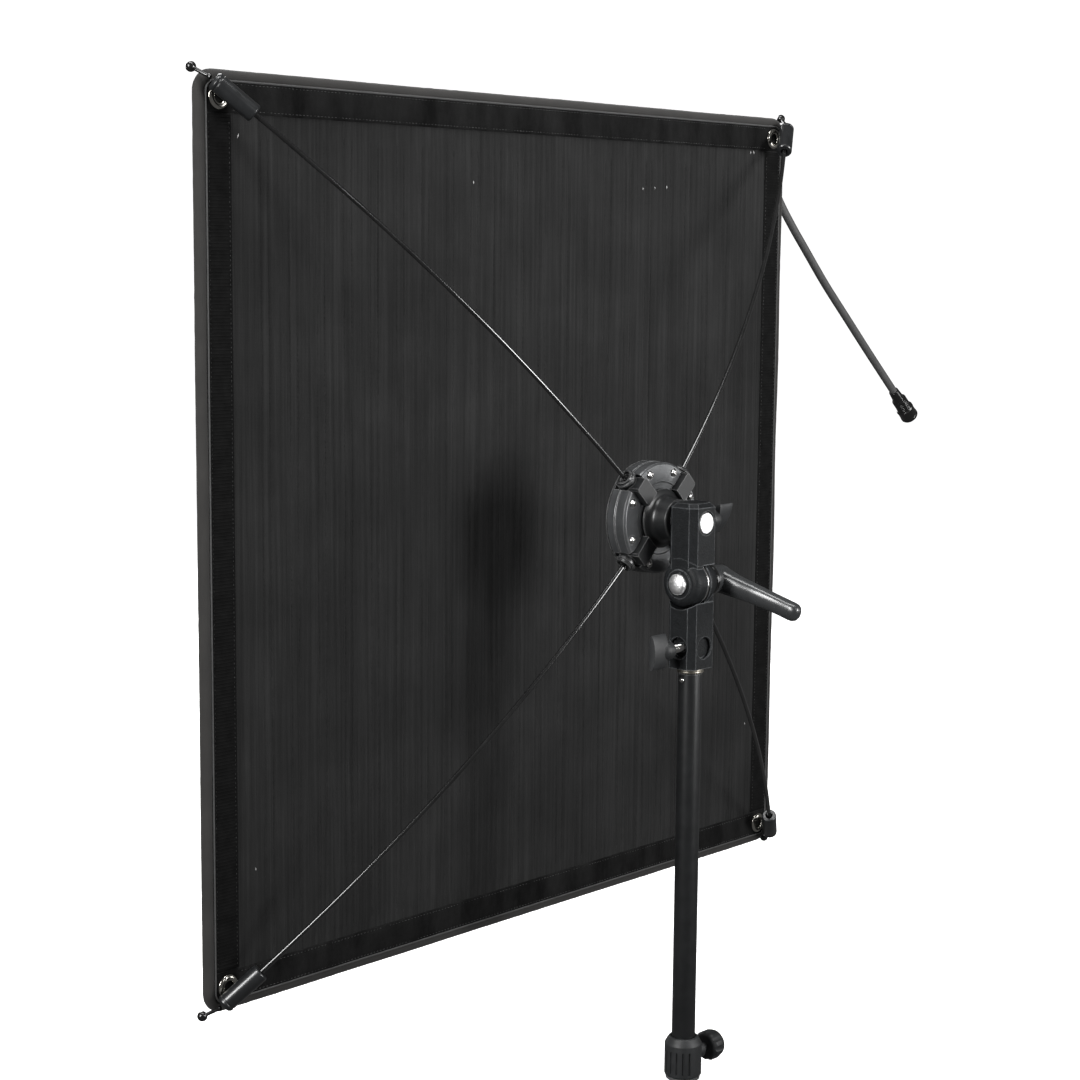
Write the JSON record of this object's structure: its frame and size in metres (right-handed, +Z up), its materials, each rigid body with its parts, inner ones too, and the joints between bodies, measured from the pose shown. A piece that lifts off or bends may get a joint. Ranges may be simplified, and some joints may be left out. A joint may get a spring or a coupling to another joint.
{
  "type": "studio soft light panel",
  "caption": "Flat square quilted soft light held open by bowed rods from a round hub, on a tilting clamp bracket and the top of a light stand.",
  "frame": {"origin": "centre of the flat underside of the riser's foot plug", "axes": "+Z up along the riser, the lit front of the panel faces -Y, the tilt axis lies along X"},
  "size_m": [0.8273, 0.2372, 0.6876],
  "materials": {
    "binding": "woven edge binding, grey-brown",
    "quilted_fabric": "matt charcoal weave, sewn in channels",
    "led_board": "satin flexible board",
    "diffusion_cloth": "white translucent cloth",
    "hook_tape": "black hook-and-loop tape",
    "powder_coat": "black powder coat with a fine hammered grain",
    "gloss_black": "gloss black",
    "bright_steel": "bright turned steel",
    "black_plastic": "satin black moulding",
    "tube_coat": "satin black coat",
    "rubber": "matt",
    "cable_jacket": "matt",
    "nickel": "bright nickel",
    "spring_rod": "smooth black lacquer"
  },
  "bodies": {
    "stand": {"riser_tube": "tube_coat", "riser_spigot": "bright_steel", "spigot_screw": "bright_steel", "clamp_collar": "black_plastic", "foot_plug": "rubber"},
    "collar_knob": {"collar_knob": "black_plastic"},
    "block": {"lower_block": "powder_coat"},
    "stand_knob": {"stand_knob": "black_plastic", "stand_knob_stud": "bright_steel"},
    "lever_bush": {"lever_bush": "gloss_black", "lever_screw": "bright_steel"},
    "lever": {"clamp_lever": "gloss_black"},
    "arm": {"upper_arm": "powder_coat", "tilt_washer": "bright_steel", "tilt_bolt": "bright_steel"},
    "spindle_knob": {"spindle_knob": "black_plastic", "spindle_knob_stud": "bright_steel"},
    "panel": {"edge_binding": "binding", "mat_back": "quilted_fabric", "led_board": "led_board", "diffuser_cloth": "diffusion_cloth", "tape_top": "hook_tape", "tape_bottom": "hook_tape", "tape_left": "hook_tape", "tape_right": "hook_tape", "eyelet_top_left": "nickel", "eyelet_top_right": "nickel", "eyelet_bottom_left": "nickel", "eyelet_bottom_right": "nickel", "hub_base": "powder_coat", "hub_cover": "powder_coat", "hub_boss": "gloss_black", "spindle": "bright_steel", "hub_screw_1": "bright_steel", "hub_screw_2": "bright_steel", "hub_screw_3": "bright_steel", "hub_screw_4": "bright_steel", "hub_screw_5": "bright_steel", "hub_screw_6": "bright_steel", "hub_screw_7": "bright_steel", "hub_screw_8": "bright_steel", "rod_top_left": "spring_rod", "rod_top_right": "spring_rod", "rod_bottom_left": "spring_rod", "rod_bottom_right": "spring_rod", "sleeve_top_left": "black_plastic", "sleeve_top_right": "black_plastic", "sleeve_bottom_left": "black_plastic", "sleeve_bottom_right": "black_plastic", "tip_top_left": "black_plastic", "tip_top_right": "black_plastic", "tip_bottom_left": "black_plastic", "tip_bottom_right": "black_plastic", "socket_top_left": "powder_coat", "socket_top_right": "powder_coat", "socket_bottom_left": "powder_coat", "socket_bottom_right": "powder_coat", "lead": "cable_jacket", "lead_gland": "black_plastic", "lead_connector": "gloss_black"}
  },
  "joints": [
    {"name": "pan", "type": "hinge", "parent": "stand", "child": "block", "pos_m": [0, 0, 0.294], "axis": [0, 0, 1], "continuous": true},
    {"name": "tilt", "type": "hinge", "parent": "block", "child": "arm", "pos_m": [0, 0, 0.3525], "axis": [1, 0, 0], "range_deg": [-90, 25]},
    {"name": "roll", "type": "hinge", "parent": "arm", "child": "panel", "pos_m": [0, -0.02, 0.394], "axis": [0, 1, 0], "continuous": true},
    {"name": "spindle_knob_turn", "type": "hinge", "parent": "arm", "child": "spindle_knob", "pos_m": [-0.02, 0, 0.394], "axis": [-1, 0, 0], "continuous": true},
    {"name": "stand_knob_turn", "type": "hinge", "parent": "block", "child": "stand_knob", "pos_m": [0.02, 0, 0.3085], "axis": [1, 0, 0], "continuous": true},
    {"name": "lever_turn", "type": "hinge", "parent": "block", "child": "lever_bush", "pos_m": [-0.02, 0, 0.3525], "axis": [1, 0, 0], "range_deg": [-60, 40]},
    {"name": "lever_lift", "type": "slide", "parent": "lever_bush", "child": "lever", "axis": [-1, 0, 0], "range_m": [0, 0.004], "stiffness_N_per_m": 400, "springref_m": -0.004},
    {"name": "collar_knob_turn", "type": "hinge", "parent": "stand", "child": "collar_knob", "pos_m": [-0.02, 0, 0.016], "axis": [-1, 0, 0], "continuous": true}
  ]
}
